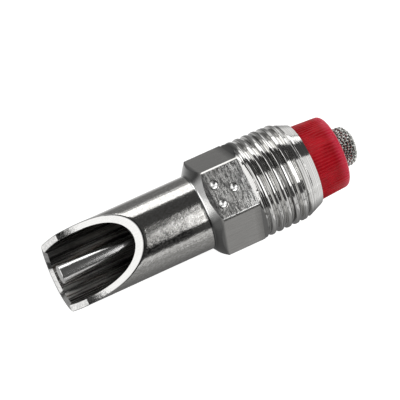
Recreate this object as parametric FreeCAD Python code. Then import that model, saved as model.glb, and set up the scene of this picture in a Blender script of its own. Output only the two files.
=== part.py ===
"""Nipple drinker for pigs, screwed into a 1/2 inch water pipe and opened by biting its pin.

+X runs along the axis from the spout to the inlet, +Z is the way the spout's mouth opens, and the
origin is on the axis where the pipe thread reaches its full height. Lengths are in millimetres.
"""
import FreeCAD, Part
import math
import os

# Pipe thread: 14 turns per inch, 20.955 mm over the crests
THREAD_PITCH = 25.4 / 14
THREAD_MAJOR_R = 20.955 / 2
THREAD_DEPTH = 0.6403 * THREAD_PITCH
THREAD_FLANK_DEG = 27.5
THREAD_LENGTH = 13.0
THREAD_CHAMFER = 3.6
THREAD_END_R = 8.85
THREAD_RUN_UP = 1.0

# Hexagon, milled on a turned bar
HEX_ACROSS_FLATS = 18.7
HEX_LENGTH = 10.1
HEX_BAR_R = 10.68
HEX_FRONT_DEG = 36.0
DIMPLE_R = 0.75
DIMPLE_DEPTH = 0.45
DIMPLE_ROW_X = -7.7
DIMPLE_POINT_X = -4.2
DIMPLE_SPREAD = 2.1

# Spout and its slanted mouth, ground with a large wheel
SPOUT_R = 8.0
SPOUT_WALL = 1.4
SPOUT_TIP_X = -42.8
LIP_TIP_Z = -2.8
LIP_CREASE_X = -39.5
LIP_CREASE_Z = -0.4
MOUTH_CROWN_X = -25.0
MOUTH_WHEEL_R = 46.0

# Web with the valve hole, the seat ring and the valve chamber behind it
WEB_FRONT_X = -16.5
WEB_THICKNESS = 3.0
VALVE_HOLE_R = 2.4
CHAMBER_R = 6.2
SEAL_THICKNESS = 1.6
SEAL_BORE_R = 3.0
SEAL_CLEARANCE = 0.05
SEAL_EDGE = 0.2

# Bite pin with its mushroom head
PIN_FRONT_X = -42.3
PIN_FRONT_R = 2.0
PIN_NECK_R = 1.6
PIN_TAPER_LENGTH = 14.0
PIN_EDGE = 0.25
HEAD_R = 4.8
HEAD_THICKNESS = 1.5
SPIGOT_R = 2.7
SPIGOT_LENGTH = 1.4

# Compression spring
SPRING_MEAN_R = 3.4
WIRE_R = 0.35
SPRING_TURNS = 6.5
SPRING_END_GAP = 0.05

# Rear counterbore with the flow disc
COUNTERBORE_R = 7.3
COUNTERBORE_DEPTH = 9.0
COUNTERBORE_EDGE = 0.3
DISC_THICKNESS = 1.4
DISC_CLEARANCE = 0.05
ORIFICE_R = 0.8

# Filter cap: a plug with an O-ring groove and a ribbed head
PLUG_CLEARANCE = 0.1
HEAD_FRONT_R = 8.2
HEAD_BACK_R = 7.75
HEAD_LENGTH = 7.2
HEAD_ROUND = 1.1
RIB_COUNT = 72
RIB_DEPTH = 0.14
RIB_GROOVE_SHARE = 0.7
GROOVE_SETBACK = 4.8
GROOVE_WIDTH = 1.8
RING_SECTION = 1.46
RING_CLEARANCE = 0.02

# Strainer: a woven wire thimble with a rim
STRAINER_R = 4.25
STRAINER_CLEARANCE = 0.1
DOME_HEIGHT = 2.5
DOME_CORNER_R = 1.9
DOME_SIDE = 2.2
RIM_R = 5.4
RIM_THICKNESS = 0.4
MESH_WALL = 0.36
MESH_LAYER = 0.24
MESH_WIRE = 0.3
MESH_SPACING = 1.05
SIDE_WIRES = 22
SIDE_ROWS = 2

# Places that follow from the sizes above
AXIS = FreeCAD.Vector(1, 0, 0)
THREAD_MINOR_R = THREAD_MAJOR_R - THREAD_DEPTH
HEX_REAR_X = -THREAD_RUN_UP
HEX_FRONT_X = HEX_REAR_X - HEX_LENGTH
SPOUT_BORE_R = SPOUT_R - SPOUT_WALL
WEB_BACK_X = WEB_FRONT_X + WEB_THICKNESS
SEAT_X = WEB_BACK_X + SEAL_THICKNESS
HEAD_BACK_X = SEAT_X + HEAD_THICKNESS
SHOULDER_X = THREAD_LENGTH - COUNTERBORE_DEPTH
DISC_BACK_X = SHOULDER_X + DISC_THICKNESS
PLUG_R = COUNTERBORE_R - PLUG_CLEARANCE
RING_R = COUNTERBORE_R - RING_CLEARANCE - RING_SECTION / 2
GROOVE_FLOOR_R = RING_R - RING_SECTION / 2 - RING_CLEARANCE
CAP_BACK_X = THREAD_LENGTH + HEAD_LENGTH
GROOVE_X = THREAD_LENGTH - GROOVE_SETBACK
DOME_BASE_X = CAP_BACK_X + DOME_SIDE
RIM_BACK_X = DISC_BACK_X + STRAINER_CLEARANCE + RIM_THICKNESS


def point(x, r):
    """A point of a half profile, at x along the axis and r off it."""
    return FreeCAD.Vector(x, 0, r)


def turned(corners):
    """The solid that a closed half profile sweeps about the axis."""
    wire = Part.makePolygon([point(x, r) for x, r in corners + corners[:1]])
    return Part.Face(wire).revolve(FreeCAD.Vector(0, 0, 0), AXIS, 360)


def rod(r, x0, x1):
    """A round bar of radius r along the axis."""
    return Part.makeCylinder(r, x1 - x0, FreeCAD.Vector(x0, 0, 0), AXIS)


def tube(r_out, r_in, x0, x1):
    """A round tube along the axis."""
    return rod(r_out, x0, x1).cut(rod(r_in, x0, x1))


def slab(x0, x1, y0, y1, z0, z1):
    """A block between six planes."""
    corner = FreeCAD.Vector(x0, y0, z0)
    return Part.makeBox(x1 - x0, y1 - y0, z1 - z0, corner)


def thread_core():
    """Threaded length: ridges of the true pitch and depth, cut down by the chamfer at the end."""
    flank = THREAD_DEPTH * math.tan(math.radians(THREAD_FLANK_DEG))
    land = THREAD_PITCH / 2 - flank
    corners = [(0, 0), (0, THREAD_MAJOR_R)]
    for turn in range(math.ceil(THREAD_LENGTH / THREAD_PITCH)):
        x = turn * THREAD_PITCH
        corners += [(x + land, THREAD_MAJOR_R), (x + land + flank, THREAD_MINOR_R),
                    (x + 2 * land + flank, THREAD_MINOR_R), (x + THREAD_PITCH, THREAD_MAJOR_R)]
    corners += [(corners[-1][0], 0)]
    envelope = [(0, 0), (0, THREAD_MAJOR_R), (THREAD_LENGTH - THREAD_CHAMFER, THREAD_MAJOR_R),
                (THREAD_LENGTH, THREAD_END_R), (THREAD_LENGTH, 0)]
    return turned(corners).common(turned(envelope))


def hexagon_outline(x, across_flats):
    """A hexagon across the axis at x, with a flat side up."""
    corner_r = across_flats / 2 / math.cos(math.radians(30))
    turns = [math.radians(60 * k + 30) for k in range(7)]
    corners = [(corner_r * math.sin(a), corner_r * math.cos(a)) for a in turns]
    return Part.makePolygon([FreeCAD.Vector(x, y, z) for y, z in corners])


def run_out():
    """Six facets that rise from the ends of the flats to the thread's full height, with the corners eased."""
    outlines = [hexagon_outline(HEX_REAR_X, HEX_ACROSS_FLATS), hexagon_outline(0, 2 * THREAD_MAJOR_R)]
    eased = turned([(HEX_REAR_X, 0), (HEX_REAR_X, HEX_BAR_R), (0, THREAD_MAJOR_R), (0, 0)])
    return Part.makeLoft(outlines, True, True).common(eased)


def hexagon():
    """Hexagonal length, flat side up, with the front turned to a cone that runs down to the spout."""
    outline = hexagon_outline(HEX_FRONT_X, HEX_ACROSS_FLATS)
    prism = Part.Face(outline).extrude(FreeCAD.Vector(HEX_LENGTH, 0, 0))
    cone = (HEX_BAR_R - SPOUT_R) * math.tan(math.radians(HEX_FRONT_DEG))
    bar = turned([(HEX_FRONT_X, 0), (HEX_FRONT_X, SPOUT_R), (HEX_FRONT_X + cone, HEX_BAR_R),
                  (HEX_REAR_X, HEX_BAR_R), (HEX_REAR_X, 0)])
    return prism.common(bar)


def dimples():
    """Three shallow cones punched in the upper flat."""
    top = HEX_ACROSS_FLATS / 2
    places = [(DIMPLE_ROW_X, DIMPLE_SPREAD), (DIMPLE_ROW_X, -DIMPLE_SPREAD), (DIMPLE_POINT_X, 0)]
    down = FreeCAD.Vector(0, 0, -1)
    return [Part.makeCone(DIMPLE_R, 0, DIMPLE_DEPTH, FreeCAD.Vector(x, y, top), down) for x, y in places]


def mouth_cut():
    """What the grinding wheel takes away: straight at the lips' tips, then concave up to the crown."""
    crease = FreeCAD.Vector(LIP_CREASE_X, 0, LIP_CREASE_Z)
    crown = FreeCAD.Vector(MOUTH_CROWN_X, 0, SPOUT_R)
    chord = crown - crease
    middle = (crown + crease) * 0.5
    below = FreeCAD.Vector(chord.z, 0, -chord.x).normalize()
    sag = MOUTH_WHEEL_R - math.sqrt(MOUTH_WHEEL_R**2 - (chord.Length / 2) ** 2)
    wheel = Part.Arc(crease, middle + below * sag, crown).toShape()
    beyond = HEX_BAR_R
    tip = FreeCAD.Vector(SPOUT_TIP_X, 0, LIP_TIP_Z)
    facet = crease - tip
    ahead = tip - facet
    over = [crown, FreeCAD.Vector(crown.x, 0, beyond), FreeCAD.Vector(ahead.x, 0, beyond), ahead]
    wire = Part.Wire([Part.makeLine(ahead, crease), wheel, *Part.makePolygon(over).Edges])
    wheel_path = Part.Face(wire).extrude(FreeCAD.Vector(0, 2 * beyond, 0))
    return wheel_path.translated(FreeCAD.Vector(0, -beyond, 0))


def body():
    """Spout, hexagon and thread in one piece, bored from both ends with a web left between."""
    shell = rod(SPOUT_R, SPOUT_TIP_X, HEX_REAR_X).fuse([hexagon(), run_out(), thread_core()])
    bore = rod(SPOUT_BORE_R, SPOUT_TIP_X, WEB_FRONT_X)
    hole = rod(VALVE_HOLE_R, WEB_FRONT_X, WEB_BACK_X)
    chamber = rod(CHAMBER_R, WEB_BACK_X, SHOULDER_X)
    mouth_r = COUNTERBORE_R + COUNTERBORE_EDGE
    rear = turned([(SHOULDER_X, 0), (SHOULDER_X, COUNTERBORE_R),
                   (THREAD_LENGTH - COUNTERBORE_EDGE, COUNTERBORE_R),
                   (THREAD_LENGTH, mouth_r), (THREAD_LENGTH, 0)])
    return shell.cut([bore, hole, chamber, rear, mouth_cut(), *dimples()]).removeSplitter()


def seat_seal():
    """Flat rubber ring that lies on the web and takes the pin's head."""
    r_out = CHAMBER_R - SEAL_CLEARANCE
    return turned([(WEB_BACK_X, SEAL_BORE_R), (WEB_BACK_X, r_out),
                   (SEAT_X - SEAL_EDGE, r_out), (SEAT_X, r_out - SEAL_EDGE),
                   (SEAT_X, SEAL_BORE_R + SEAL_EDGE), (SEAT_X - SEAL_EDGE, SEAL_BORE_R)])


def bite_pin():
    """Pin that tapers from its bitten end to the neck in the web, with head and spring spigot behind."""
    return turned([(PIN_FRONT_X, 0), (PIN_FRONT_X, PIN_FRONT_R - PIN_EDGE),
                   (PIN_FRONT_X + PIN_EDGE, PIN_FRONT_R),
                   (PIN_FRONT_X + PIN_TAPER_LENGTH, PIN_NECK_R), (SEAT_X, PIN_NECK_R),
                   (SEAT_X, HEAD_R), (HEAD_BACK_X, HEAD_R), (HEAD_BACK_X, SPIGOT_R),
                   (HEAD_BACK_X + SPIGOT_LENGTH - PIN_EDGE, SPIGOT_R),
                   (HEAD_BACK_X + SPIGOT_LENGTH, SPIGOT_R - PIN_EDGE),
                   (HEAD_BACK_X + SPIGOT_LENGTH, 0)])


def spring():
    """Wire wound between the pin's head and the flow disc, its round section drawn with eight sides."""
    start = HEAD_BACK_X + WIRE_R + SPRING_END_GAP
    end = SHOULDER_X - WIRE_R - SPRING_END_GAP
    helix = Part.makeHelix((end - start) / SPRING_TURNS, end - start, SPRING_MEAN_R)
    corners = [FreeCAD.Vector(SPRING_MEAN_R + WIRE_R * math.cos(math.radians(45 * k + 22.5)), 0,
                              WIRE_R * math.sin(math.radians(45 * k + 22.5))) for k in range(9)]
    coil = Part.Wire(helix.Edges).makePipeShell([Part.makePolygon(corners)], True, True)
    coil.rotate(FreeCAD.Vector(0, 0, 0), FreeCAD.Vector(0, 1, 0), 90)
    coil.translate(FreeCAD.Vector(start, 0, 0))
    return coil


def flow_disc():
    """Disc on the counterbore's shoulder, with a hub that centres the spring and an orifice through it."""
    r_out = COUNTERBORE_R - DISC_CLEARANCE
    hub = SHOULDER_X - SPIGOT_LENGTH
    return turned([(hub, ORIFICE_R), (hub, SPIGOT_R - PIN_EDGE), (hub + PIN_EDGE, SPIGOT_R),
                   (SHOULDER_X, SPIGOT_R), (SHOULDER_X, r_out), (DISC_BACK_X, r_out),
                   (DISC_BACK_X, ORIFICE_R)])


def rib_groove():
    """One V groove between two ribs, cut along the taper of the cap's head and open at both ends."""
    half = math.radians(180 / RIB_COUNT) * RIB_GROOVE_SHARE
    sections = []
    for x, r in ((THREAD_LENGTH, HEAD_FRONT_R), (CAP_BACK_X, HEAD_BACK_R)):
        floor, top = r - RIB_DEPTH, r + RIB_DEPTH
        side = 2 * r * math.sin(half)
        corners = [(0, floor), (side, top), (-side, top), (0, floor)]
        sections.append(Part.makePolygon([FreeCAD.Vector(x, y, z) for y, z in corners]))
    return Part.makeLoft(sections, True, True)


def cap_head():
    """Ribbed head, slightly tapered, with a rounded back edge."""
    taper = turned([(THREAD_LENGTH, 0), (THREAD_LENGTH, HEAD_FRONT_R),
                    (CAP_BACK_X, HEAD_BACK_R), (CAP_BACK_X, 0)])
    back = [e for e in taper.Edges if abs(e.BoundBox.XMin - CAP_BACK_X) < 1e-6 and len(e.Vertexes) == 1]
    grooves = []
    for k in range(RIB_COUNT):
        groove = rib_groove()
        groove.rotate(FreeCAD.Vector(0, 0, 0), AXIS, 360 / RIB_COUNT * k)
        grooves.append(groove)
    return taper.makeFillet(HEAD_ROUND, back).cut(grooves)


def filter_cap():
    """Plug with its O-ring groove and strainer seat, and the head that closes the inlet end."""
    bore_r = STRAINER_R + STRAINER_CLEARANCE
    plug = rod(PLUG_R, DISC_BACK_X, THREAD_LENGTH)
    groove = tube(COUNTERBORE_R, GROOVE_FLOOR_R, GROOVE_X, GROOVE_X + GROOVE_WIDTH)
    seat = rod(RIM_R + STRAINER_CLEARANCE, DISC_BACK_X, RIM_BACK_X)
    return plug.fuse(cap_head()).cut([groove, seat, rod(bore_r, DISC_BACK_X, CAP_BACK_X)])


def cap_seal():
    """O-ring in the plug's groove, its round section drawn with twelve sides."""
    middle = GROOVE_X + GROOVE_WIDTH / 2
    turns = [math.radians(30 * k + 15) for k in range(12)]
    return turned([(middle + RING_SECTION / 2 * math.cos(a), RING_R + RING_SECTION / 2 * math.sin(a))
                   for a in turns])


def dome_solid(inset):
    """The thimble's rounded end, lying this far inside its outer surface: a flat crown and a tight corner."""
    base = DOME_BASE_X
    r, height, corner = STRAINER_R - inset, DOME_HEIGHT - inset, DOME_CORNER_R - inset
    side = r - corner
    crown = (height**2 + side**2 - corner**2) / (2 * (height - corner))
    lean = math.atan2(side, crown - height)
    knee = point(base + corner * math.cos(lean), side + corner * math.sin(lean))
    half = (math.pi / 2 + lean) / 2
    on_corner = point(base + corner * math.cos(half), side + corner * math.sin(half))
    on_crown = point(base + height - crown * (1 - math.cos(lean / 2)), crown * math.sin(lean / 2))
    top, foot, rim = point(base + height, 0), point(base, 0), point(base, r)
    edges = [Part.Arc(rim, on_corner, knee).toShape(), Part.Arc(knee, on_crown, top).toShape(),
             Part.makeLine(top, foot), Part.makeLine(foot, rim)]
    return Part.Face(Part.Wire(edges)).revolve(FreeCAD.Vector(0, 0, 0), AXIS, 360)


def dome_layer(inset):
    """One layer of the dome's wall, as thick as a wire, inset from its outer surface."""
    return dome_solid(inset).cut(dome_solid(inset + MESH_LAYER))


def dome_wires():
    """The dome's two crossed sets of wires, one set standing a little proud of the other."""
    reach = math.floor((STRAINER_R - MESH_WIRE) / MESH_SPACING)
    far = DOME_BASE_X + DOME_HEIGHT
    half = MESH_WIRE / 2
    sets = []
    for across in (False, True):
        wires = []
        for k in range(-reach, reach + 1):
            low, high = k * MESH_SPACING - half, k * MESH_SPACING + half
            if across:
                wires.append(slab(DOME_BASE_X, far, low, high, -STRAINER_R, STRAINER_R))
            else:
                wires.append(slab(DOME_BASE_X, far, -STRAINER_R, STRAINER_R, low, high))
        layer = dome_layer(MESH_WALL - MESH_LAYER if across else 0)
        sets += [layer.common(wire) for wire in wires]
    return sets


def side_wall():
    """The upright side of the thimble, with rows of windows between its wires."""
    inner_r = STRAINER_R - MESH_WALL
    wall = tube(STRAINER_R, inner_r, RIM_BACK_X - RIM_THICKNESS, DOME_BASE_X)
    row = (DOME_SIDE - MESH_WIRE / 2) / SIDE_ROWS
    width = 2 * math.pi * STRAINER_R / SIDE_WIRES - MESH_WIRE
    windows = []
    for k in range(SIDE_ROWS):
        for turn in range(SIDE_WIRES):
            x = CAP_BACK_X + k * row
            window = slab(x + MESH_WIRE / 2, x + row - MESH_WIRE / 2, -width / 2, width / 2,
                          inner_r / 2, RIM_R)
            window.rotate(FreeCAD.Vector(0, 0, 0), AXIS, 360 / SIDE_WIRES * turn)
            windows.append(window)
    return wall.cut(windows)


def strainer():
    """Wire thimble: rim in the cap's seat, plain sleeve inside the cap, open weave outside it."""
    inner_r = STRAINER_R - MESH_WALL
    rim = tube(RIM_R, inner_r, RIM_BACK_X - RIM_THICKNESS, RIM_BACK_X)
    return side_wall().fuse([rim, *dome_wires()])


PIECES = {
    "body": body,
    "seat_seal": seat_seal,
    "bite_pin": bite_pin,
    "spring": spring,
    "flow_disc": flow_disc,
    "filter_cap": filter_cap,
    "cap_seal": cap_seal,
    "strainer": strainer,
}

os.makedirs("parts", exist_ok=True)
for name, build in PIECES.items():
    shape = build()
    shape.exportStep("parts/" + name + ".step")
    solids = shape.Solids
    print(name, "solids", len(solids), "valid", shape.isValid(), "volume", round(shape.Volume, 1))
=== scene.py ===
"""Looks of a pig nipple drinker: stainless body, bite pin, ribbed red inlet cap and woven strainer.

Sizes are written in millimetres in the part's own frame, +X to the inlet and +Z the way the spout's
mouth opens, and become metres where a mesh is made. An angle round the axis is 0 at +Z and grows to +Y.
"""
import math

import bmesh
import bpy
from mathutils import Matrix, Vector, noise

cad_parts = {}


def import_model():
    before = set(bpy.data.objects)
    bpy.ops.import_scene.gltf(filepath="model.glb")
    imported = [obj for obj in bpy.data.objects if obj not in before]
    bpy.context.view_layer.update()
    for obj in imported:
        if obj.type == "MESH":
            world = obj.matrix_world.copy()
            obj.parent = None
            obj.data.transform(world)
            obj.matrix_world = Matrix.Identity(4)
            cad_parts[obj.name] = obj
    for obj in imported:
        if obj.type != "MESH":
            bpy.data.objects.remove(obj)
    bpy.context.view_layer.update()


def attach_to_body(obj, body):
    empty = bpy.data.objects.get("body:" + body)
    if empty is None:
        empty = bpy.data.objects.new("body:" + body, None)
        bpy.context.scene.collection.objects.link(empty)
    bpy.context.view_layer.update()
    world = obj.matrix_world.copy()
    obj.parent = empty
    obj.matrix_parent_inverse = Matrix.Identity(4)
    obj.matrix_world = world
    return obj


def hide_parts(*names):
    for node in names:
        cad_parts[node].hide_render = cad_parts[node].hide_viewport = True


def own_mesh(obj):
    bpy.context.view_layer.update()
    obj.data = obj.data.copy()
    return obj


MM = 0.001
TAU = 2 * math.pi

# The photograph's camera: how the axis lies in the picture, how far the object is rolled, and its scale
AXIS_IN_PICTURE = math.radians(24.4)
AXIS_AWAY = math.radians(13.0)
ROLL = math.radians(-9.5)
CAMERA_MM = 600.0
PIXELS = 400
PIXELS_PER_MM = 4.9
ORIGIN_RIGHT_PX = 46.5
ORIGIN_UP_PX = 9.8
SENSOR_MM = 36.0

# The lamps' usual distance, and the middle of the object that they aim at
LIGHT_DISTANCE = 500.0
OBJECT_MIDDLE = Vector((-9.0, 0.0, 0.0))

# Half the width of the board under the part, in metres, and the gap between them in mm
BOARD_HALF = 4.0
BOARD_GAP = 0.02

# Pipe thread
THREAD_PITCH = 25.4 / 14
THREAD_R = 20.955 / 2
CROWN_R = 0.8
CROWN_LEAN = math.radians(20)
CREST_ROUND = 0.3
ROOT_ROUND = 0.2
THREAD_FLANK = math.radians(27.5)
FIRST_CREST_X = 0.76
THREAD_LENGTH = 13.0
THREAD_STRAIGHT = 5.8
TAPER_END_X = 9.4
TAPER_END_R = 10.32
THREAD_END_R = 8.85
RUN_OUT_X = -1.0
FULL_DEPTH_X = 0.9

# Hexagon
HEX_APOTHEM = 18.7 / 2
HEX_BAR_R = 10.68
HEX_FRONT_X = -11.1
HEX_FOOT = 0.3
HEX_CONE = math.tan(math.radians(36.0))
DIMPLE_R = 0.78
DIMPLE_DEPTH = 0.5
DIMPLE_RIM = 0.035
DIMPLE_FIELD_R = 1.25
DIMPLES = ((-7.7, 2.1), (-7.7, -2.1), (-4.2, 0.0))

# Spout and its slanted mouth
SPOUT_R = 8.0
BORE_R = 6.6
TIP = (-42.8, -2.8)
CREASE = (-39.5, -0.4)
CROWN = (-25.0, 8.0)
WHEEL_R = 46.0
LIP_EDGE = 0.22
BEVEL_LENGTH = 0.7
BEVEL_WIDTH = 0.5

# Web, valve chamber and counterbore
WEB_X = (-16.5, -13.5)
WEB_ROUND = 0.5
VALVE_HOLE_R = 2.4
CHAMBER_R = 6.2
SEAT_X = -11.9
SHOULDER_X = 4.0
COUNTERBORE_R = 7.3

# Bite pin, and the spring behind its head
PIN_FRONT = (-42.3, 2.0)
PIN_NECK = (-28.3, 1.6)
PIN_HEAD_R = 4.8
PIN_HEAD_THICKNESS = 1.5
SPIGOT_R = 2.7
SPIGOT_LENGTH = 1.4
SPRING_WIRE_R = 0.35
SPRING_MEAN_R = 3.4
SPRING_TURNS = 6.5
SPRING_CLOSED_TURNS = 0.75
SPRING_GAP = 0.05

# Seat ring and flow disc
SEAT_RING_R = (3.0, 6.15)
DISC_R = 7.25
DISC_THICKNESS = 1.4
ORIFICE_R = 0.8

# Cap
CAP_X = (5.4, 20.2)
PLUG_R = 7.2
HEAD_R = (8.2, 7.75)
HEAD_ROUND = 1.1
RIBS = 72
RIB_DEPTH = 0.2
CAP_BORE_R = 4.35
RING_GROOVE = (8.2, 10.0, 5.8)
RING_SECTION_R = 0.73
RING_CLEARANCE = 0.02
RIM_POCKET = (5.92, 5.5)

# Strainer: a woven dome on a plain sleeve with a rim
STRAINER_R = 4.25
RIM_X = (5.5, 5.9)
RIM_R = 5.4
SLEEVE_WALL = 0.36
DOME_X = 22.4
DOME_HEIGHT = 2.5
DOME_CORNER = 1.9
MESH_PITCH = 0.68
WIRE_R = 0.155
WEAVE_INSET = 2 * WIRE_R + 0.04
# The dark sheet inside the weave, as painted shade: its inset and wall
SHADE_SHEET_INSET = 2.8 * WIRE_R + 0.04
SHADE_SHEET_WALL = 0.1
CRUMPLE = 0.1

# Columns of faces round the body, and the ones that meet the mouth's creases and tips
COLUMNS = 240
CREASE_COLUMN = 62
TIP_COLUMN = 75


def smoothstep(low, high, value):
    """0 below low, 1 above high and smooth between them."""
    t = min(max((value - low) / (high - low), 0.0), 1.0)
    return t * t * (3 - 2 * t)


def lerp(a, b, t):
    """The value a share t of the way from a to b."""
    return a + (b - a) * t


# Mesh building

def around(x, r, angle):
    """A point in metres at x along the axis, r off it and angle round it, all in mm and radians."""
    return Vector((x, r * math.sin(angle), r * math.cos(angle))) * MM


def ring(x, r, angles):
    """One row of points round the axis. x and r are single values or one for each angle."""
    xs = x if isinstance(x, list) else [x] * len(angles)
    rs = r if isinstance(r, list) else [r] * len(angles)
    return [around(xs[i], rs[i], a) for i, a in enumerate(angles)]


def even_angles(count):
    """Angles in even steps round the axis."""
    return [TAU * k / count for k in range(count)]


class Skin:
    """A mesh that grows patch by patch. Patches meet where their points coincide."""

    def __init__(self):
        self.points = []
        self.faces = []
        self.slots = []

    def rows(self, rings, slot=0):
        """Joins each ring to the next one with four-sided faces."""
        start = len(self.points)
        count = len(rings[0])
        for r in rings:
            self.points.extend(r)
        for i in range(len(rings) - 1):
            for j in range(count):
                k = (j + 1) % count
                a = start + i * count
                self.faces.append((a + j, a + k, a + count + k, a + count + j))
                self.slots.append(slot)

    def strip(self, columns, shift, slot=0):
        """Joins columns of points, the last to the first with its rows shifted by a whole turn's."""
        start = len(self.points)
        height = len(columns[0])
        for column in columns:
            self.points.extend(column)
        for j in range(len(columns)):
            last = j == len(columns) - 1
            left = start + j * height
            right = start if last else left + height
            move = shift if last else 0
            for i in range(height - 1):
                if i - move < 0:
                    continue
                low = right + i - move
                self.faces.append((left + i, low, low + 1, left + i + 1))
                self.slots.append(slot)

    def make(self, name, materials, sharp=28.0):
        """The finished object: points merged, faces without area gone, normals outward."""
        mesh = bpy.data.meshes.new(name)
        mesh.from_pydata([tuple(p) for p in self.points], [], self.faces)
        mesh.polygons.foreach_set("material_index", self.slots)
        bm = bmesh.new()
        bm.from_mesh(mesh)
        bmesh.ops.remove_doubles(bm, verts=bm.verts, dist=2e-7)
        bmesh.ops.dissolve_degenerate(bm, edges=bm.edges, dist=1e-7)
        bmesh.ops.recalc_face_normals(bm, faces=bm.faces)
        bm.to_mesh(mesh)
        bm.free()
        return finish_mesh(name, mesh, materials, sharp)


def finish_mesh(name, mesh, materials, sharp):
    """An object for the mesh, shaded smooth except at edges sharper than the given degrees."""
    for m in materials:
        mesh.materials.append(m)
    mesh.shade_smooth()
    mesh.set_sharp_from_angle(angle=math.radians(sharp))
    piece = bpy.data.objects.new(name, mesh)
    bpy.context.scene.collection.objects.link(piece)
    return piece


def rounded(corners, steps=4):
    """A polyline of (x, r) whose corners (x, r, fillet) are rounded by arcs."""
    out = []
    count = len(corners)
    for i, corner in enumerate(corners):
        here = Vector(corner[:2])
        fillet = corner[2] if len(corner) > 2 else 0.0
        if fillet == 0.0 or i in (0, count - 1):
            out.append(tuple(here))
            continue
        back = (Vector(corners[i - 1][:2]) - here).normalized()
        ahead = (Vector(corners[i + 1][:2]) - here).normalized()
        half = back.angle(ahead) / 2
        reach = fillet / math.tan(half)
        middle = here + (back + ahead).normalized() * (fillet / math.sin(half))
        first = here + back * reach - middle
        last = here + ahead * reach - middle
        turn = first.angle_signed(last)
        for k in range(steps + 1):
            spoke = first.copy()
            spoke.rotate(Matrix.Rotation(-turn * k / steps, 2))
            out.append(tuple(middle + spoke))
    return out


def turned(name, corners, materials, count=96, sharp=28.0):
    """A turned piece from corners (x, r, fillet). Its profile is closed unless it ends on the axis."""
    profile = rounded(corners)
    angles = even_angles(count)
    rings = [ring(x, r, angles) for x, r in profile]
    if corners[0][1] > 0:
        rings.append(rings[0])
    skin = Skin()
    skin.rows(rings)
    return skin.make(name, materials, sharp)


# Materials

class Nodes:
    """A short way to write a node tree: each call adds a node, and sockets are passed as values."""

    def __init__(self, tree):
        self.tree = tree
        tree.nodes.clear()

    def add(self, kind, inputs=None, **settings):
        """A new node, its settings made and its inputs linked or filled in."""
        node = self.tree.nodes.new(kind)
        for key, value in settings.items():
            setattr(node, key, value)
        for key, value in (inputs or {}).items():
            if isinstance(value, bpy.types.NodeSocket):
                self.tree.links.new(value, node.inputs[key])
            else:
                node.inputs[key].default_value = value
        return node

    def math(self, operation, a, b=0.0):
        return self.add("ShaderNodeMath", {0: a, 1: b}, operation=operation).outputs[0]

    def times(self, a, b):
        return self.math("MULTIPLY", a, b)

    def most(self, a, b):
        return self.math("MAXIMUM", a, b)

    def place(self, scale):
        """The point in mm, stretched: a direction with a small scale gives long features."""
        at = self.add("ShaderNodeTexCoord").outputs["Object"]
        return self.add("ShaderNodeVectorMath", {0: at, 1: [s / MM for s in scale]},
                        operation="MULTIPLY").outputs[0]

    def xyz(self):
        """The point's x, y and z in mm."""
        return self.add("ShaderNodeSeparateXYZ", {0: self.place((1, 1, 1))}).outputs

    def off_axis(self):
        """The point's distance from the axis in mm."""
        across = self.place((0, 1, 1))
        return self.add("ShaderNodeVectorMath", {0: across}, operation="LENGTH").outputs["Value"]

    def grain(self, scale, detail=2.0, rough=0.5):
        """Noise from 0 to 1 whose features are about 1/scale mm long in each direction."""
        return self.add("ShaderNodeTexNoise", {"Vector": self.place(scale), "Scale": 1.0,
                                               "Detail": detail, "Roughness": rough}).outputs[0]

    def rings(self, scale):
        """Lines that run round the axis, like a turning tool's marks."""
        x = self.add("ShaderNodeSeparateXYZ", {0: self.place((scale, 0.0, 0.0))}).outputs[0]
        return self.add("ShaderNodeTexNoise", {"W": x, "Scale": 1.0, "Detail": 3.0},
                        noise_dimensions="1D").outputs[0]

    def level(self, value, low, high, out_low, out_high, shape="LINEAR"):
        """Maps low..high to out_low..out_high, held at its ends."""
        return self.add("ShaderNodeMapRange", {0: value, 1: low, 2: high, 3: out_low, 4: out_high},
                        interpolation_type=shape).outputs[0]

    def blend(self, share, a, b):
        """Colour a where share is 0 and b where it is 1."""
        return self.add("ShaderNodeMix", {0: share, 6: a, 7: b}, data_type="RGBA").outputs[2]

    def bump(self, height, distance, normal=None):
        """Bump of this height in mm from a value of 0 to 1."""
        inputs = {"Height": height, "Distance": distance * MM, "Strength": 1.0}
        if normal is not None:
            inputs["Normal"] = normal
        return self.add("ShaderNodeBump", inputs).outputs[0]

    def surface(self, **inputs):
        """Ends the tree in one surface shader. An input's spaces are written as underscores."""
        named = {key.replace("_", " "): value for key, value in inputs.items()}
        shader = self.add("ShaderNodeBsdfPrincipled", named)
        self.add("ShaderNodeOutputMaterial", {"Surface": shader.outputs[0]})


def new_material(name):
    """An empty material and the helper that fills its node tree."""
    material = bpy.data.materials.new(name)
    material.use_nodes = True
    return material, Nodes(material.node_tree)


STEEL = (0.60, 0.595, 0.58, 1.0)
STEEL_DARK = (0.44, 0.43, 0.41, 1.0)
# Near black: real dirt and scores, and painted shade in corners, along edges and inside the strainer
DIRT_AND_SHADE = (0.03, 0.03, 0.03, 1.0)


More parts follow.
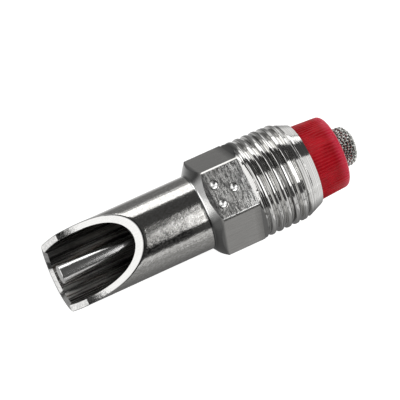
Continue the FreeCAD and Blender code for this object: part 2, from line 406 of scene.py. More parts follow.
def polished_steel():
    """The spout: buffed, so the skin stays slightly wavy and reflections break into blotches."""
    material, n = new_material("polished_steel")
    x, y, _ = n.xyz()
    worn = n.level(y, 1.5, 4.5, 1.0, 0.12, "SMOOTHSTEP")
    # Painted shade: a mottled dark band along the spout's lower side next to the hexagon
    shade_band = n.times(n.level(y, -3.3, -2.4, 1.0, 0.0), n.level(y, -5.0, -4.6, 0.0, 1.0))
    shade_by_hex = n.times(shade_band, n.level(x, -17.0, -12.5, 1.0, 0.0))
    blotch = n.grain((0.35, 0.9, 0.9), 2.0, 0.5)
    fine = n.grain((1.5, 2.6, 2.6), 3.0, 0.65)
    lines = n.rings(9.0)
    waves = n.bump(n.times(blotch, worn), 0.03)
    ripple = n.bump(n.times(fine, worn), 0.013, waves)
    normal = n.bump(lines, 0.0012, ripple)
    tone = n.blend(n.level(fine, 0.35, 0.65, 0.0, 1.0), STEEL, STEEL_DARK)
    # the painted shade band, broken up by noise
    mottled_shade = n.times(shade_by_hex, n.level(fine, 0.42, 0.6, 0.9, 0.1))
    tone = n.blend(mottled_shade, tone, (0.05, 0.05, 0.05, 1.0))
    rough = n.level(fine, 0.3, 0.7, 0.10, 0.18)
    n.surface(Base_Color=tone, Metallic=1.0, Roughness=rough, Normal=normal)
    return material


def foot_shade(n, x, y):
    """Painted shade in the corner where the spout meets the hexagon, wider on the lower side and broken
    into rings.
    """
    off_foot = n.math("ABSOLUTE", n.math("SUBTRACT", x, HEX_FRONT_X - HEX_FOOT))
    share = n.math("DIVIDE", off_foot, n.level(y, -4.0, -1.0, 0.9, 0.14))
    return n.times(n.level(share, 0.0, 1.0, 1.0, 0.0), n.level(n.rings(5.0), 0.3, 0.6, 0.3, 1.0))


def cone_edge_shade(n, x, y):
    """Painted shade: the dark line where the front cone meets the flats, clearest on the upper side."""
    on_cone = n.times(n.math("SUBTRACT", n.off_axis(), SPOUT_R), HEX_CONE)
    past_cone = n.math("SUBTRACT", n.math("SUBTRACT", x, HEX_FRONT_X), on_cone)
    off_edge = n.math("ABSOLUTE", n.math("SUBTRACT", past_cone, 0.1))
    return n.times(n.level(off_edge, 0.03, 0.1, 0.8, 0.0), n.level(y, -1.0, 2.0, 0.2, 1.0))


def beside_marked_flat(n, y):
    """1 past the marked flat's upper edge, a half past its lower one and 0 between them."""
    return n.most(n.level(y, 5.2, 6.0, 0.0, 1.0), n.level(y, -6.0, -5.2, 0.5, 0.0))


def drawn_steel():
    """The hexagon's plain flats and the turned ends: smooth bar stock, with painted shade at the spout's
    corner, along the cone's edge and at the rear beside the marked flat, and painted light on the front
    cone.
    """
    material, n = new_material("drawn_steel")
    grain = n.grain((0.25, 2.2, 2.2), 3.0)
    x, y, _ = n.xyz()
    # Painted shade at the rear of the flats beside the marked flat, where the run-out begins
    rear = n.times(n.level(x, -2.6, RUN_OUT_X, 0.0, 0.6), beside_marked_flat(n, y))
    # dark joins the painted shade of the corner, the cone's edge and the rear
    dark = n.most(cone_edge_shade(n, x, y), n.most(foot_shade(n, x, y), rear))
    # Painted light on the front cone: bright near y = 0 and dark towards both sides
    facing = n.times(n.level(y, -4.6, -2.4, 0.0, 1.0), n.level(y, 3.6, 5.4, 1.0, 0.0))
    cone = n.blend(facing, (0.22, 0.22, 0.215, 1.0), (0.9, 0.9, 0.89, 1.0))
    tone = n.blend(n.level(x, -9.6, -9.1, 1.0, 0.0), n.blend(grain, STEEL, STEEL_DARK), cone)
    tone = n.blend(dark, tone, DIRT_AND_SHADE)
    normal = n.bump(n.rings(4.0), 0.006, n.bump(grain, 0.004))
    rough = n.level(grain, 0.3, 0.7, 0.16, 0.24)
    n.surface(Base_Color=tone, Metallic=1.0, Roughness=rough, Normal=normal)
    return material


def ground_steel():
    """The marked flat: ground with a coarse belt that ran across the axis; painted lighter towards its
    rear, with a painted shade strip at its front and a painted highlight along its lower edge.
    """
    material, n = new_material("ground_steel")
    scratch = n.grain((3.8, 0.6, 1.0), 3.0, 0.65)
    fine = n.grain((6.0, 3.0, 1.0), 2.0, 0.7)
    cloud = n.grain((0.35, 0.35, 0.35), 2.0)
    x, y, _ = n.xyz()
    # Painted highlight: a broken bright line along the flat's lower edge
    broken = n.level(n.grain((1.6, 0.5, 0.5), 2.0), 0.35, 0.55, 0.2, 1.0)
    lower_edge_highlight = n.times(n.level(y, -5.04, -4.92, 1.0, 0.0), broken)
    # Painted shade: a dark strip across the flat's front end
    front_shade = n.level(x, -9.2, -8.6, 0.7, 0.0)
    normal = n.bump(scratch, 0.014, n.bump(fine, 0.01))
    # Painted light: the flat is lighter towards its rear
    bright = n.blend(n.level(x, -5.0, -1.5, 0.0, 1.0), (0.55, 0.545, 0.53, 1.0), (0.63, 0.63, 0.62, 1.0))
    marks = n.math("ADD", n.times(scratch, 0.6), n.times(fine, 0.4))
    tone = n.blend(n.level(marks, 0.43, 0.57, 0.0, 1.0), bright, (0.09, 0.09, 0.088, 1.0))
    tone = n.blend(front_shade, tone, (0.04, 0.04, 0.04, 1.0))
    tone = n.blend(lower_edge_highlight, tone, (1.0, 1.0, 0.99, 1.0))
    rough = n.level(cloud, 0.3, 0.7, 0.2, 0.32)
    n.surface(Base_Color=tone, Metallic=1.0, Roughness=rough, Normal=normal)
    return material


def dimple_highlight_steel():
    """The dimples: pressed by a hard punch, with smooth walls painted very bright as a highlight."""
    material, n = new_material("dimple_highlight_steel")
    fine = n.grain((2.5, 2.5, 2.5), 2.0)
    # Painted highlight: a base colour near white
    tone = n.blend(fine, (0.98, 0.98, 0.97, 1.0), (0.85, 0.85, 0.84, 1.0))
    rough = n.level(fine, 0.3, 0.7, 0.22, 0.3)
    n.surface(Base_Color=tone, Metallic=1.0, Roughness=rough, Normal=n.bump(fine, 0.004))
    return material


def lip_steel():
    """The cut face of the mouth: ground bright, with painted shade behind the creases and along its outer
    edge.
    """
    material, n = new_material("lip_steel")
    scratch = n.grain((0.5, 7.0, 0.5), 3.0, 0.6)
    pits = n.grain((1.6, 2.2, 2.2), 3.0, 0.7)
    x = n.xyz()[0]
    # Painted shade: a dark mottled patch on the lip face just behind each crease
    behind = n.times(n.math("GREATER_THAN", x, CREASE[0]), n.level(x, -38.4, -36.6, 1.0, 0.0))
    stain = n.times(behind, n.level(n.grain((2.4, 3.0, 3.0), 3.0, 0.7), 0.38, 0.52, 1.0, 0.1))
    # Painted shade: a dark line along the lip face's outer edge
    outer_edge_shade = n.level(n.off_axis(), SPOUT_R - 0.2, SPOUT_R - 0.06, 0.0, 0.8)
    pitted = n.times(n.math("LESS_THAN", x, CREASE[0]), n.level(pits, 0.4, 0.6, 0.1, 0.45))
    tone = n.blend(scratch, (0.70, 0.695, 0.685, 1.0), STEEL)
    tone = n.blend(pitted, tone, (0.2, 0.2, 0.2, 1.0))
    tone = n.blend(n.most(stain, outer_edge_shade), tone, DIRT_AND_SHADE)
    normal = n.bump(pits, 0.02, n.bump(scratch, 0.004))
    rough = n.level(scratch, 0.3, 0.7, 0.06, 0.12)
    n.surface(Base_Color=tone, Metallic=1.0, Roughness=rough, Normal=normal)
    return material


def threaded_steel():
    """The thread: cut bright, with the die's fine lines along the groove, a few darker scores, and
    painted shade at its start beside the marked flat.
    """
    material, n = new_material("threaded_steel")
    x, y, _ = n.xyz()
    lines = n.rings(8.0)
    blotch = n.grain((1.2, 1.0, 1.0), 2.0)
    scored = n.times(n.level(n.rings(2.6), 0.52, 0.66, 0.0, 0.7), n.level(x, 10.0, 11.0, 1.0, 0.3))
    normal = n.bump(lines, 0.004, n.bump(blotch, 0.01))
    tone = n.blend(n.level(lines, 0.3, 0.7, 0.0, 1.0), (0.80, 0.795, 0.78, 1.0), (0.46, 0.455, 0.44, 1.0))
    # Painted shade on the thread's start beside the marked flat, where the run-out begins
    start = n.times(n.level(x, -0.2, 0.8, 0.85, 0.0), beside_marked_flat(n, y))
    tone = n.blend(n.most(start, scored), tone, DIRT_AND_SHADE)
    rough = n.level(lines, 0.3, 0.7, 0.08, 0.16)
    n.surface(Base_Color=tone, Metallic=1.0, Roughness=rough, Normal=normal)
    return material


def bore_steel():
    """The spout's bore: drawn streaks along the axis, a faint brown water stain, and painted shade on its
    +Y side near the tip.
    """
    material, n = new_material("bore_steel")
    streak = n.grain((0.06, 1.9, 1.9), 3.0, 0.6)
    stain = n.grain((0.12, 0.6, 0.6), 2.0)
    x, y, _ = n.xyz()
    bright = n.level(streak, 0.40, 0.62, 0.0, 1.0)
    tone = n.blend(bright, (0.10, 0.098, 0.095, 1.0), (0.72, 0.71, 0.69, 1.0))
    # Painted shade: the bore's +Y side near the tip is painted near black
    bore_shade = n.times(n.level(y, 1.5, 4.5, 0.0, 0.8), n.level(x, -36.5, -31.0, 1.0, 0.25))
    tone = n.blend(bore_shade, tone, (0.02, 0.02, 0.02, 1.0))
    tone = n.blend(n.level(stain, 0.55, 0.75, 0.0, 0.5), tone, (0.26, 0.19, 0.14, 1.0))
    rough = n.level(streak, 0.3, 0.7, 0.2, 0.36)
    n.surface(Base_Color=tone, Metallic=1.0, Roughness=rough, Normal=n.bump(streak, 0.05))
    return material


def pin_steel():
    """The bite pin: polished along its length, with shallow tooth marks."""
    material, n = new_material("pin_steel")
    lines = n.grain((0.12, 3.0, 3.0), 2.0, 0.6)
    dents = n.grain((0.4, 1.0, 1.0), 2.0)
    normal = n.bump(lines, 0.012, n.bump(dents, 0.008))
    tone = n.blend(lines, (0.86, 0.855, 0.845, 1.0), (0.66, 0.655, 0.645, 1.0))
    rough = n.level(lines, 0.3, 0.7, 0.16, 0.26)
    n.surface(Base_Color=tone, Metallic=1.0, Roughness=rough, Normal=normal)
    return material


def wire_steel(name, tone, rough):
    """Drawn wire, slightly dull, with a faint change of tone along it."""
    material, n = new_material(name)
    cloud = n.grain((1.1, 1.1, 1.1), 2.0)
    fine = n.grain((9.0, 9.0, 9.0), 1.0)
    dark = (tone[0] * 0.62, tone[1] * 0.62, tone[2] * 0.6, 1.0)
    clouded = n.blend(n.level(cloud, 0.35, 0.65, 0.0, 1.0), tone, dark)
    uneven = n.level(fine, 0.3, 0.7, rough - 0.06, rough + 0.06)
    n.surface(Base_Color=clouded, Metallic=1.0, Roughness=uneven, Normal=n.bump(fine, 0.004))
    return material


def red_plastic():
    """The cap: moulded plastic, painted brighter at its back edge as a highlight, and paler where the
    skin is scuffed.
    """
    material, n = new_material("red_plastic")
    cloud = n.grain((0.3, 0.3, 0.3), 2.0)
    fine = n.grain((2.5, 2.5, 2.5), 3.0)
    # Painted highlight: the back edge is painted brighter, with more specular
    edge = n.level(n.xyz()[0], CAP_X[1] - 2.4, CAP_X[1] - 0.6, 0.0, 1.0, "SMOOTHSTEP")
    clouded = n.level(cloud, 0.35, 0.65, 0.0, 1.0)
    tone = n.blend(clouded, (0.30, 0.001, 0.006, 1.0), (0.42, 0.004, 0.012, 1.0))
    tone = n.blend(edge, tone, (0.50, 0.008, 0.035, 1.0))
    tone = n.blend(n.level(fine, 0.6, 0.8, 0.0, 0.2), tone, (0.55, 0.02, 0.04, 1.0))
    n.surface(Base_Color=tone, Roughness=n.level(fine, 0.3, 0.7, 0.3, 0.42), Normal=n.bump(fine, 0.006),
              Specular_IOR_Level=n.level(edge, 0.0, 1.0, 0.12, 0.3), Subsurface_Weight=0.12,
              Subsurface_Radius=(0.8 * MM, 0.15 * MM, 0.12 * MM), Subsurface_Scale=1.0)
    return material


def soft_rubber(name, tone):
    """Moulded rubber with a fine matt skin."""
    material, n = new_material(name)
    fine = n.grain((3.0, 3.0, 3.0), 3.0)
    pale = tuple(min(1.0, 1.5 * c + 0.01) for c in tone[:3]) + (1.0,)
    rough = n.level(fine, 0.3, 0.7, 0.5, 0.68)
    n.surface(Base_Color=n.blend(fine, tone, pale), Roughness=rough, Normal=n.bump(fine, 0.01))
    return material


# Body

def stepped_angles(anchors):
    """Angles of all columns: even between the anchors (column, degrees) of one side, then mirrored."""
    half = COLUMNS // 2
    side = []
    for (k0, a0), (k1, a1) in zip(anchors, anchors[1:]):
        side += [math.radians(lerp(a0, a1, (k - k0) / (k1 - k0))) for k in range(k0, k1)]
    side.append(math.pi)
    return side + [TAU - side[COLUMNS - k] for k in range(half + 1, COLUMNS)]


def mouth_angles(r):
    """Columns that meet the lips' creases and tips exactly on a wall of this radius."""
    crease = math.degrees(math.acos(CREASE[1] / r))
    tip = math.degrees(math.acos(TIP[1] / r))
    return stepped_angles([(0, 0.0), (CREASE_COLUMN, crease), (TIP_COLUMN, tip), (COLUMNS // 2, 180.0)])


def hex_angles():
    """Columns that meet both edges of each turned corner of the hexagon."""
    corner = math.degrees(math.acos(HEX_APOTHEM / HEX_BAR_R))
    side = []
    for start in range(0, 180, 60):
        k = start * COLUMNS // 360
        side += [(k, start), (k + 19, start + corner), (k + 21, start + 60 - corner)]
    side.append((COLUMNS // 2, 180.0))
    return stepped_angles(side)


def from_flat(angle):
    """The angle from the middle of the nearest flat."""
    return (angle + math.pi / 6) % (math.pi / 3) - math.pi / 6


def hex_radius(angle):
    """How far the hexagon reaches off the axis at an angle, its corners turned round."""
    return min(HEX_APOTHEM / math.cos(from_flat(angle)), HEX_BAR_R)


def mouth_x(z):
    """Where the mouth's surface lies at height z: the square end, the facet, then the wheel's arc."""
    if z <= TIP[1]:
        return TIP[0]
    if z <= CREASE[1]:
        return lerp(TIP[0], CREASE[0], (z - TIP[1]) / (CREASE[1] - TIP[1]))
    crease = Vector(CREASE)
    crown = Vector(CROWN)
    chord = crown - crease
    sag = WHEEL_R - math.sqrt(WHEEL_R**2 - (chord.length / 2) ** 2)
    down = Vector((chord.y, -chord.x)).normalized()
    centre = (crease + crown) / 2 + down * (sag - WHEEL_R)
    return centre.x + math.sqrt(WHEEL_R**2 - (z - centre.y) ** 2)


def mouth_ring(r):
    """The row where the mouth's surface cuts a wall of radius r."""
    angles = mouth_angles(r)
    return ring([mouth_x(r * math.cos(a)) for a in angles], r, angles)


def at_end(z):
    """1 at the square end of the spout, below its tips, and 0 on the slanted mouth."""
    return smoothstep(TIP[1] + 0.1, TIP[1] - 0.9, z)


def between_rings(a, b, shares):
    """Rows between two rows, at the given shares of the way."""
    return [[p.lerp(q, t) for p, q in zip(a, b)] for t in shares]


def lip_rows():
    """The cut face from the bore to the outer wall: rounded edges, and a bevel inside the square end."""
    inner = mouth_ring(BORE_R)
    outer = mouth_ring(SPOUT_R)
    edge = LIP_EDGE / (SPOUT_R - BORE_R)
    bevel = BEVEL_WIDTH / (SPOUT_R - BORE_R)
    back = 0.3 * LIP_EDGE
    # Each row's share of the wall and its step back along x, on the mouth and then at the square end
    steps = [((0.3 * edge, back), (bevel / 2, BEVEL_LENGTH / 2)),
             ((edge, 0.0), (bevel, 0.0)),
             ((0.4, 0.0), (0.6, 0.0)),
             ((0.6, 0.0), (0.72, 0.0)),
             ((1 - edge, 0.0), (1 - edge, 0.0)),
             ((1 - 0.3 * edge, back), (1 - 0.3 * edge, back))]
    rows = []
    for (share, step), (end_share, end_step) in steps:
        row = []
        for p, q in zip(inner, outer):
            end = at_end(p.z / MM)
            move = Vector((lerp(step, end_step, end) * MM, 0.0, 0.0))
            row.append(p.lerp(q, lerp(share, end_share, end)) + move)
        rows.append(row)
    return rows


def wall_rows(r, end_edge, x_to, count):
    """Rows of the spout's wall from its mouth to a plain ring, as its columns turn to the hexagon's."""
    start = mouth_angles(r)
    end = hex_angles()
    rows = []
    for k in range(count + 1):
        t = k / count
        angles = [lerp(a, b, t) for a, b in zip(start, end)]
        xs = [lerp(mouth_x(z) + lerp(LIP_EDGE, end_edge, at_end(z)), x_to, t)
              for z in (r * math.cos(a) for a in start)]
        rows.append(ring(xs, r, angles))
    return rows


def blank_radius(x, angle):
    """The turned blank under the thread, with the facets where the hexagon's flats run out."""
    if x < 0:
        facet = lerp(THREAD_R, HEX_APOTHEM, x / RUN_OUT_X) / math.cos(from_flat(angle))
        return min(facet, THREAD_R)
    if x < THREAD_STRAIGHT:
        return THREAD_R
    if x < TAPER_END_X:
        return lerp(THREAD_R, TAPER_END_R, (x - THREAD_STRAIGHT) / (TAPER_END_X - THREAD_STRAIGHT))
    return lerp(TAPER_END_R, THREAD_END_R, (x - TAPER_END_X) / (THREAD_LENGTH - TAPER_END_X))


def thread_profile():
    """Offsets (x, depth) from one crest's middle to the next: crown, edge, flank and round root."""
    lean = math.pi / 2 - THREAD_FLANK
    side = [(CROWN_R * math.sin(a), CROWN_R * (1 - math.cos(a)))
            for a in (0.0, CROWN_LEAN / 2, CROWN_LEAN)]
    edge_x, edge_depth = side[-1]
    for k in range(1, 5):
        a = lerp(CROWN_LEAN, lean, k / 4)
        side.append((edge_x + CREST_ROUND * (math.sin(a) - math.sin(CROWN_LEAN)),
                     edge_depth + CREST_ROUND * (math.cos(CROWN_LEAN) - math.cos(a))))
    half = THREAD_PITCH / 2
    flank = (half - ROOT_ROUND * math.sin(lean) - side[-1][0]) * math.tan(lean)
    bottom = side[-1][1] + flank + ROOT_ROUND * (1 - math.cos(lean))
    for k in range(5):
        a = lerp(lean, 0.0, k / 4)
        side.append((half - ROOT_ROUND * math.sin(a), bottom - ROOT_ROUND * (1 - math.cos(a))))
    return side + [(THREAD_PITCH - x, depth) for x, depth in reversed(side[1:-1])]


def thread_columns(angles):
    """Columns of the helical thread, each a little behind the last, held at both ends of the length."""
    profile = thread_profile()
    turns = math.ceil((THREAD_LENGTH - RUN_OUT_X) / THREAD_PITCH) + 1
    first = FIRST_CREST_X - math.ceil((FIRST_CREST_X - RUN_OUT_X) / THREAD_PITCH) * THREAD_PITCH
    columns = []
    for a in angles:
        column = []
        for turn in range(turns + 1):
            for step, depth in profile:
                x = first + THREAD_PITCH * (turn - a / TAU) + step
                held = min(max(x, RUN_OUT_X), THREAD_LENGTH)
                fade = smoothstep(RUN_OUT_X + 0.15, FULL_DEPTH_X, held)
                cut = THREAD_R - depth * fade
                ends = held in (RUN_OUT_X, THREAD_LENGTH)
                blank = blank_radius(held, a)
                column.append(around(held, blank if ends else min(blank, cut), a))
        columns.append(column)
    return columns, len(profile)


def hex_rows(angles):
    """Rows over the front cone and the flats to the rear face of the hexagon."""
    radii = [hex_radius(a) for a in angles]
    slope = Vector((HEX_CONE, 1.0)).normalized() * HEX_FOOT
    foot = []
    for k in range(6):
        t = k / 5
        x = HEX_FRONT_X - HEX_FOOT * (1 - t) ** 2 + slope.x * t * t
        foot.append(ring(x, SPOUT_R + slope.y * t * t, angles))
    edge = ring([HEX_FRONT_X + (r - SPOUT_R) * HEX_CONE for r in radii], radii, angles)
    rear = ring(RUN_OUT_X, radii, angles)
    neck = ring(RUN_OUT_X, [blank_radius(RUN_OUT_X, a) for a in angles], angles)
    cone = foot[:-1] + between_rings(foot[-1], edge, [k / 5 for k in range(6)])
    flats = between_rings(edge, rear, [k / 44 for k in range(45)])
    return cone, flats, [rear, neck]


def inner_rows(angles):
    """Rows from the thread's end face through the counterbore and chamber to the web's front face."""
    front, back = WEB_X
    profile = rounded([(THREAD_LENGTH, THREAD_END_R), (THREAD_LENGTH, COUNTERBORE_R + 0.3),
                       (THREAD_LENGTH - 0.3, COUNTERBORE_R), (SHOULDER_X, COUNTERBORE_R),
                       (SHOULDER_X, CHAMBER_R), (back, CHAMBER_R), (back, VALVE_HOLE_R + 0.15),
                       (back - 0.15, VALVE_HOLE_R), (front + 0.2, VALVE_HOLE_R),
                       (front, VALVE_HOLE_R + 0.2), (front, BORE_R - WEB_ROUND),
                       (front - WEB_ROUND, BORE_R)])
    return [ring(x, r, angles) for x, r in profile]


def punch_dimples(mesh):
    """Refines the marked flat round each dimple and presses it in, with a thin raised rim."""
    top = HEX_APOTHEM * MM
    rim_width = 0.35 * DIMPLE_R
    bm = bmesh.new()
    bm.from_mesh(mesh)
    for x, y in DIMPLES:
        centre = Vector((x * MM, y * MM, top))
        near = [f for f in bm.faces if abs(f.normal.z) > 0.99
                and (f.calc_center_median() - centre).length < DIMPLE_FIELD_R * MM]
        edges = {e for f in near for e in f.edges}
        bmesh.ops.subdivide_edges(bm, edges=list(edges), cuts=3, use_grid_fill=True)
    for v in bm.verts:
        if abs(v.co.z - top) > 1e-6:
            continue
        for x, y in DIMPLES:
            away = math.hypot(v.co.x / MM - x, v.co.y / MM - y)
            if away < DIMPLE_R:
                v.co.z -= DIMPLE_DEPTH * MM * (1 - away / DIMPLE_R)
            elif away < DIMPLE_R + rim_width:
                v.co.z += DIMPLE_RIM * MM * math.sin(math.pi * (away - DIMPLE_R) / rim_width) ** 2
    bm.to_mesh(mesh)
    bm.free()


# Material slots of the body
POLISHED, DRAWN, GROUND, LIP, THREADED, BORE, DIMPLE_HIGHLIGHT = range(7)


def make_body(materials):
    """Spout, hexagon and thread as one closed skin."""
    angles = hex_angles()
    skin = Skin()
    cone, flats, rear = hex_rows(angles)
    lips = lip_rows()
    outer = wall_rows(SPOUT_R, LIP_EDGE, HEX_FRONT_X - HEX_FOOT, 24)
    inner = wall_rows(BORE_R, BEVEL_LENGTH, WEB_X[0] - WEB_ROUND, 20)
    inside = inner_rows(angles)
    columns, per_turn = thread_columns(angles)
    skin.rows([inner[0]] + lips + [outer[0]], LIP)
    skin.rows(outer, POLISHED)
    skin.rows(cone, DRAWN)
    skin.rows(flats, DRAWN)
    skin.rows(rear, DRAWN)
    skin.strip(columns, per_turn, THREADED)
    skin.rows(inside, DRAWN)
    skin.rows([inside[-1], inner[-1]], BORE)
    skin.rows(inner, BORE)
    piece = skin.make("body_steel", materials, 24.0)
    punch_dimples(piece.data)
    mark_flat(piece.data)
    piece.data.set_sharp_from_angle(angle=math.radians(24.0))
    sharpen_creases(piece.data)
    return piece


def sharpen_creases(mesh):
    """Keeps the crease across each lip sharp, where the straight cut meets the wheel's arc."""
    for edge in mesh.edges:
        ends = [mesh.vertices[i].co / MM for i in edge.vertices]
        if all(abs(p.z - CREASE[1]) < 1e-3 and abs(p.x - CREASE[0]) < LIP_EDGE for p in ends):
            edge.use_edge_sharp = True


def mark_flat(mesh):
    """Gives the upper flat its ground finish, and the dimples in it their painted highlight."""
    edge = HEX_APOTHEM * math.tan(math.radians(28.9)) * MM
    for face in mesh.polygons:
        c = face.center
        inside = (HEX_FRONT_X + 0.9) * MM < c.x < RUN_OUT_X * MM and abs(c.y) < edge
        if not inside or face.material_index != DRAWN or c.z < 0:
            continue
        if abs(c.z - HEX_APOTHEM * MM) < 0.05 * MM:
            face.material_index = GROUND
        elif any(math.hypot(c.x / MM - x, c.y / MM - y) < DIMPLE_R for x, y in DIMPLES):
            face.material_index = DIMPLE_HIGHLIGHT


# Pin, spring, seals and disc

def make_pin(material):
    """Tapered pin with its mushroom head and the spigot that centres the spring."""
    front_x, front_r = PIN_FRONT
    neck_x, neck_r = PIN_NECK
    head_x = SEAT_X + PIN_HEAD_THICKNESS
    end_x = head_x + SPIGOT_LENGTH
    corners = [(front_x, 0.0), (front_x, front_r, 0.28), (neck_x, neck_r, 6.0), (SEAT_X, neck_r, 0.3),
               (SEAT_X, PIN_HEAD_R, 0.15), (head_x, PIN_HEAD_R, 0.25),
               (head_x, SPIGOT_R, 0.2), (end_x, SPIGOT_R, 0.25), (end_x, 0.0)]
    return turned("bite_pin_steel", corners, [material], 96)


def sweep(path, radius, sides):
    """Points and faces of a round wire with flat ends that follows a path of points in metres."""
    points = []
    faces = []
    side = Vector((0, 0, 1))
    for i, here in enumerate(path):
        ahead = path[min(i + 1, len(path) - 1)] - path[max(i - 1, 0)]
        ahead.normalize()
        side = side - ahead * side.dot(ahead)
        if side.length < 1e-9:
            side = ahead.orthogonal()
        side.normalize()
        other = ahead.cross(side)
        for k in range(sides):
            a = TAU * k / sides
            points.append(here + (side * math.cos(a) + other * math.sin(a)) * radius)
    for i in range(len(path) - 1):
        for k in range(sides):
            m = (k + 1) % sides
            faces.append((i * sides + k, i * sides + m, (i + 1) * sides + m, (i + 1) * sides + k))
    last = (len(path) - 1) * sides
    faces.append(tuple(reversed(range(sides))))
    faces.append(tuple(last + k for k in range(sides)))
    return points, faces


def wire_piece(name, points, faces, material, sharp):
    """A piece made of swept wire."""
    mesh = bpy.data.meshes.new(name)
    mesh.from_pydata([tuple(p) for p in points], [], faces)
    return finish_mesh(name, mesh, [material], sharp)


def make_spring(material):
    """Compression spring whose end turns lie closed against the head and the disc."""
    steps = 40
    wire = 2 * SPRING_WIRE_R
    x0 = SEAT_X + PIN_HEAD_THICKNESS + SPRING_WIRE_R + SPRING_GAP
    x1 = SHOULDER_X - SPRING_WIRE_R - SPRING_GAP
    open_turns = SPRING_TURNS - 2 * SPRING_CLOSED_TURNS
    rise = (x1 - x0) - 2 * SPRING_CLOSED_TURNS * wire
    path = []
    for k in range(int(SPRING_TURNS * steps) + 1):
        t = k / steps
        first = min(t, SPRING_CLOSED_TURNS) * wire
        middle = min(max(t - SPRING_CLOSED_TURNS, 0.0), open_turns) / open_turns * rise
        last = max(0.0, t - (SPRING_TURNS - SPRING_CLOSED_TURNS)) * wire
        path.append(around(x0 + first + middle + last, SPRING_MEAN_R, -TAU * t))
    points, faces = sweep(path, SPRING_WIRE_R * MM, 12)
    return wire_piece("spring_wire", points, faces, material, 40.0)


def make_small_parts(rubber, ring_rubber, plastic):
    """Seat ring, O-ring and flow disc."""
    bore, rim = SEAT_RING_R
    web = WEB_X[1]
    corners = [(web, 4.5), (web, rim, 0.15), (SEAT_X, rim, 0.2), (SEAT_X, bore, 0.2),
               (web, bore, 0.15), (web, 4.5)]
    seat = turned("seat_ring_rubber", corners, [rubber], 96)
    groove = (RING_GROOVE[0] + RING_GROOVE[1]) / 2
    middle_r = COUNTERBORE_R - RING_CLEARANCE - RING_SECTION_R
    section = [(groove + RING_SECTION_R * math.cos(a), middle_r + RING_SECTION_R * math.sin(a))
               for a in even_angles(20)]
    seal = turned("o_ring_rubber", section, [ring_rubber], 120, 60.0)
    hub_x = SHOULDER_X - SPIGOT_LENGTH
    back_x = SHOULDER_X + DISC_THICKNESS
    corners = [(hub_x, ORIFICE_R), (hub_x, SPIGOT_R, 0.25), (SHOULDER_X, SPIGOT_R, 0.1),
               (SHOULDER_X, DISC_R, 0.2), (back_x, DISC_R, 0.2), (back_x, ORIFICE_R)]
    disc = turned("flow_disc_moulded", corners, [plastic], 96)
    return seat, seal, disc


# Cap

def cap_outline():
    """Points (x, r) along the ribbed head, from its shoulder at the thread to the edge of the bore."""
    front, back = HEAD_R
    x0, x1 = THREAD_LENGTH, CAP_X[1]
    outline = rounded([(x0, PLUG_R + 0.05), (x0, front, 0.25), (x1, back, HEAD_ROUND),
                       (x1, CAP_BORE_R + 0.3)], 8)
    fine = []
    for (xa, ra), (xb, rb) in zip(outline, outline[1:]):
        steps = 10 if abs(xb - xa) > 2 else 1
        fine += [(lerp(xa, xb, k / steps), lerp(ra, rb, k / steps)) for k in range(steps)]
    return fine + [outline[-1]]


def rib_wear(x, angle):
    """How much of the ribs' depth is left at a place, since they are worn unevenly."""
    place = Vector((0.2 * x, 3 * math.sin(angle), 3 * math.cos(angle)))
    return max(0.15, 0.7 + 1.1 * noise.noise(place))


def make_cap(material):
    """Plug, ribbed head and rounded back edge, bored for the strainer."""
    columns_per_rib = 8
    angles = even_angles(RIBS * columns_per_rib)
    x0, x1 = THREAD_LENGTH, CAP_X[1]
    grooves = [(0.5 - 0.5 * math.cos(a * RIBS)) ** 1.6 for a in angles]
    head = []
    for x, r in cap_outline():
        at_front = smoothstep(PLUG_R + 0.3, PLUG_R + 0.7, r)
        at_back = smoothstep(x1 + 0.02, x1 - HEAD_ROUND * 0.75, x)
        depth = RIB_DEPTH * at_front * at_back
        radii = [r - depth * g * rib_wear(x, a) for g, a in zip(grooves, angles)]
        head.append(ring(x, radii, angles))
    pocket_x, pocket_r = RIM_POCKET
    groove_front, groove_back, groove_r = RING_GROOVE
    plug = rounded([(x1, CAP_BORE_R + 0.3), (x1, CAP_BORE_R, 0.2), (pocket_x, CAP_BORE_R),
                    (pocket_x, pocket_r), (CAP_X[0], pocket_r), (CAP_X[0], PLUG_R, 0.2),
                    (groove_front, PLUG_R, 0.1), (groove_front, groove_r), (groove_back, groove_r),
                    (groove_back, PLUG_R, 0.1), (x0, PLUG_R), (x0, PLUG_R + 0.05)], 3)
    skin = Skin()
    skin.rows(head)
    skin.rows([ring(x, r, angles) for x, r in plug])
    return skin.make("cap_ribbed", [material], 32.0)


# Strainer

def thimble(length, inset):
    """Point (x, r) and outward lean of the strainer's wall, this far from the middle of its dome."""
    r, height, corner = STRAINER_R - inset, DOME_HEIGHT - inset, DOME_CORNER - inset
    side = r - corner
    crown = (height**2 + side**2 - corner**2) / (2 * (height - corner))
    lean = math.atan2(side, crown - height)
    over_crown = crown * lean
    over_corner = corner * (math.pi / 2 - lean)
    if length < over_crown:
        a = length / crown
        return DOME_X + height - crown + crown * math.cos(a), crown * math.sin(a), a
    if length < over_crown + over_corner:
        a = lean + (length - over_crown) / corner
        return DOME_X + corner * math.cos(a), side + corner * math.sin(a), a
    return DOME_X - (length - over_crown - over_corner), r, math.pi / 2


def wire_point(u, v, lift, inset):
    """Where a point of the flat cloth lands on the thimble, lifted off its middle surface."""
    length = math.hypot(u, v)
    angle = math.atan2(u, v)
    x, r, lean = thimble(length, inset)
    lift += CRUMPLE * noise.noise(Vector((u * 0.55, v * 0.55, 3.7)))
    return around(x + lift * math.cos(lean), r + lift * math.sin(lean), angle)


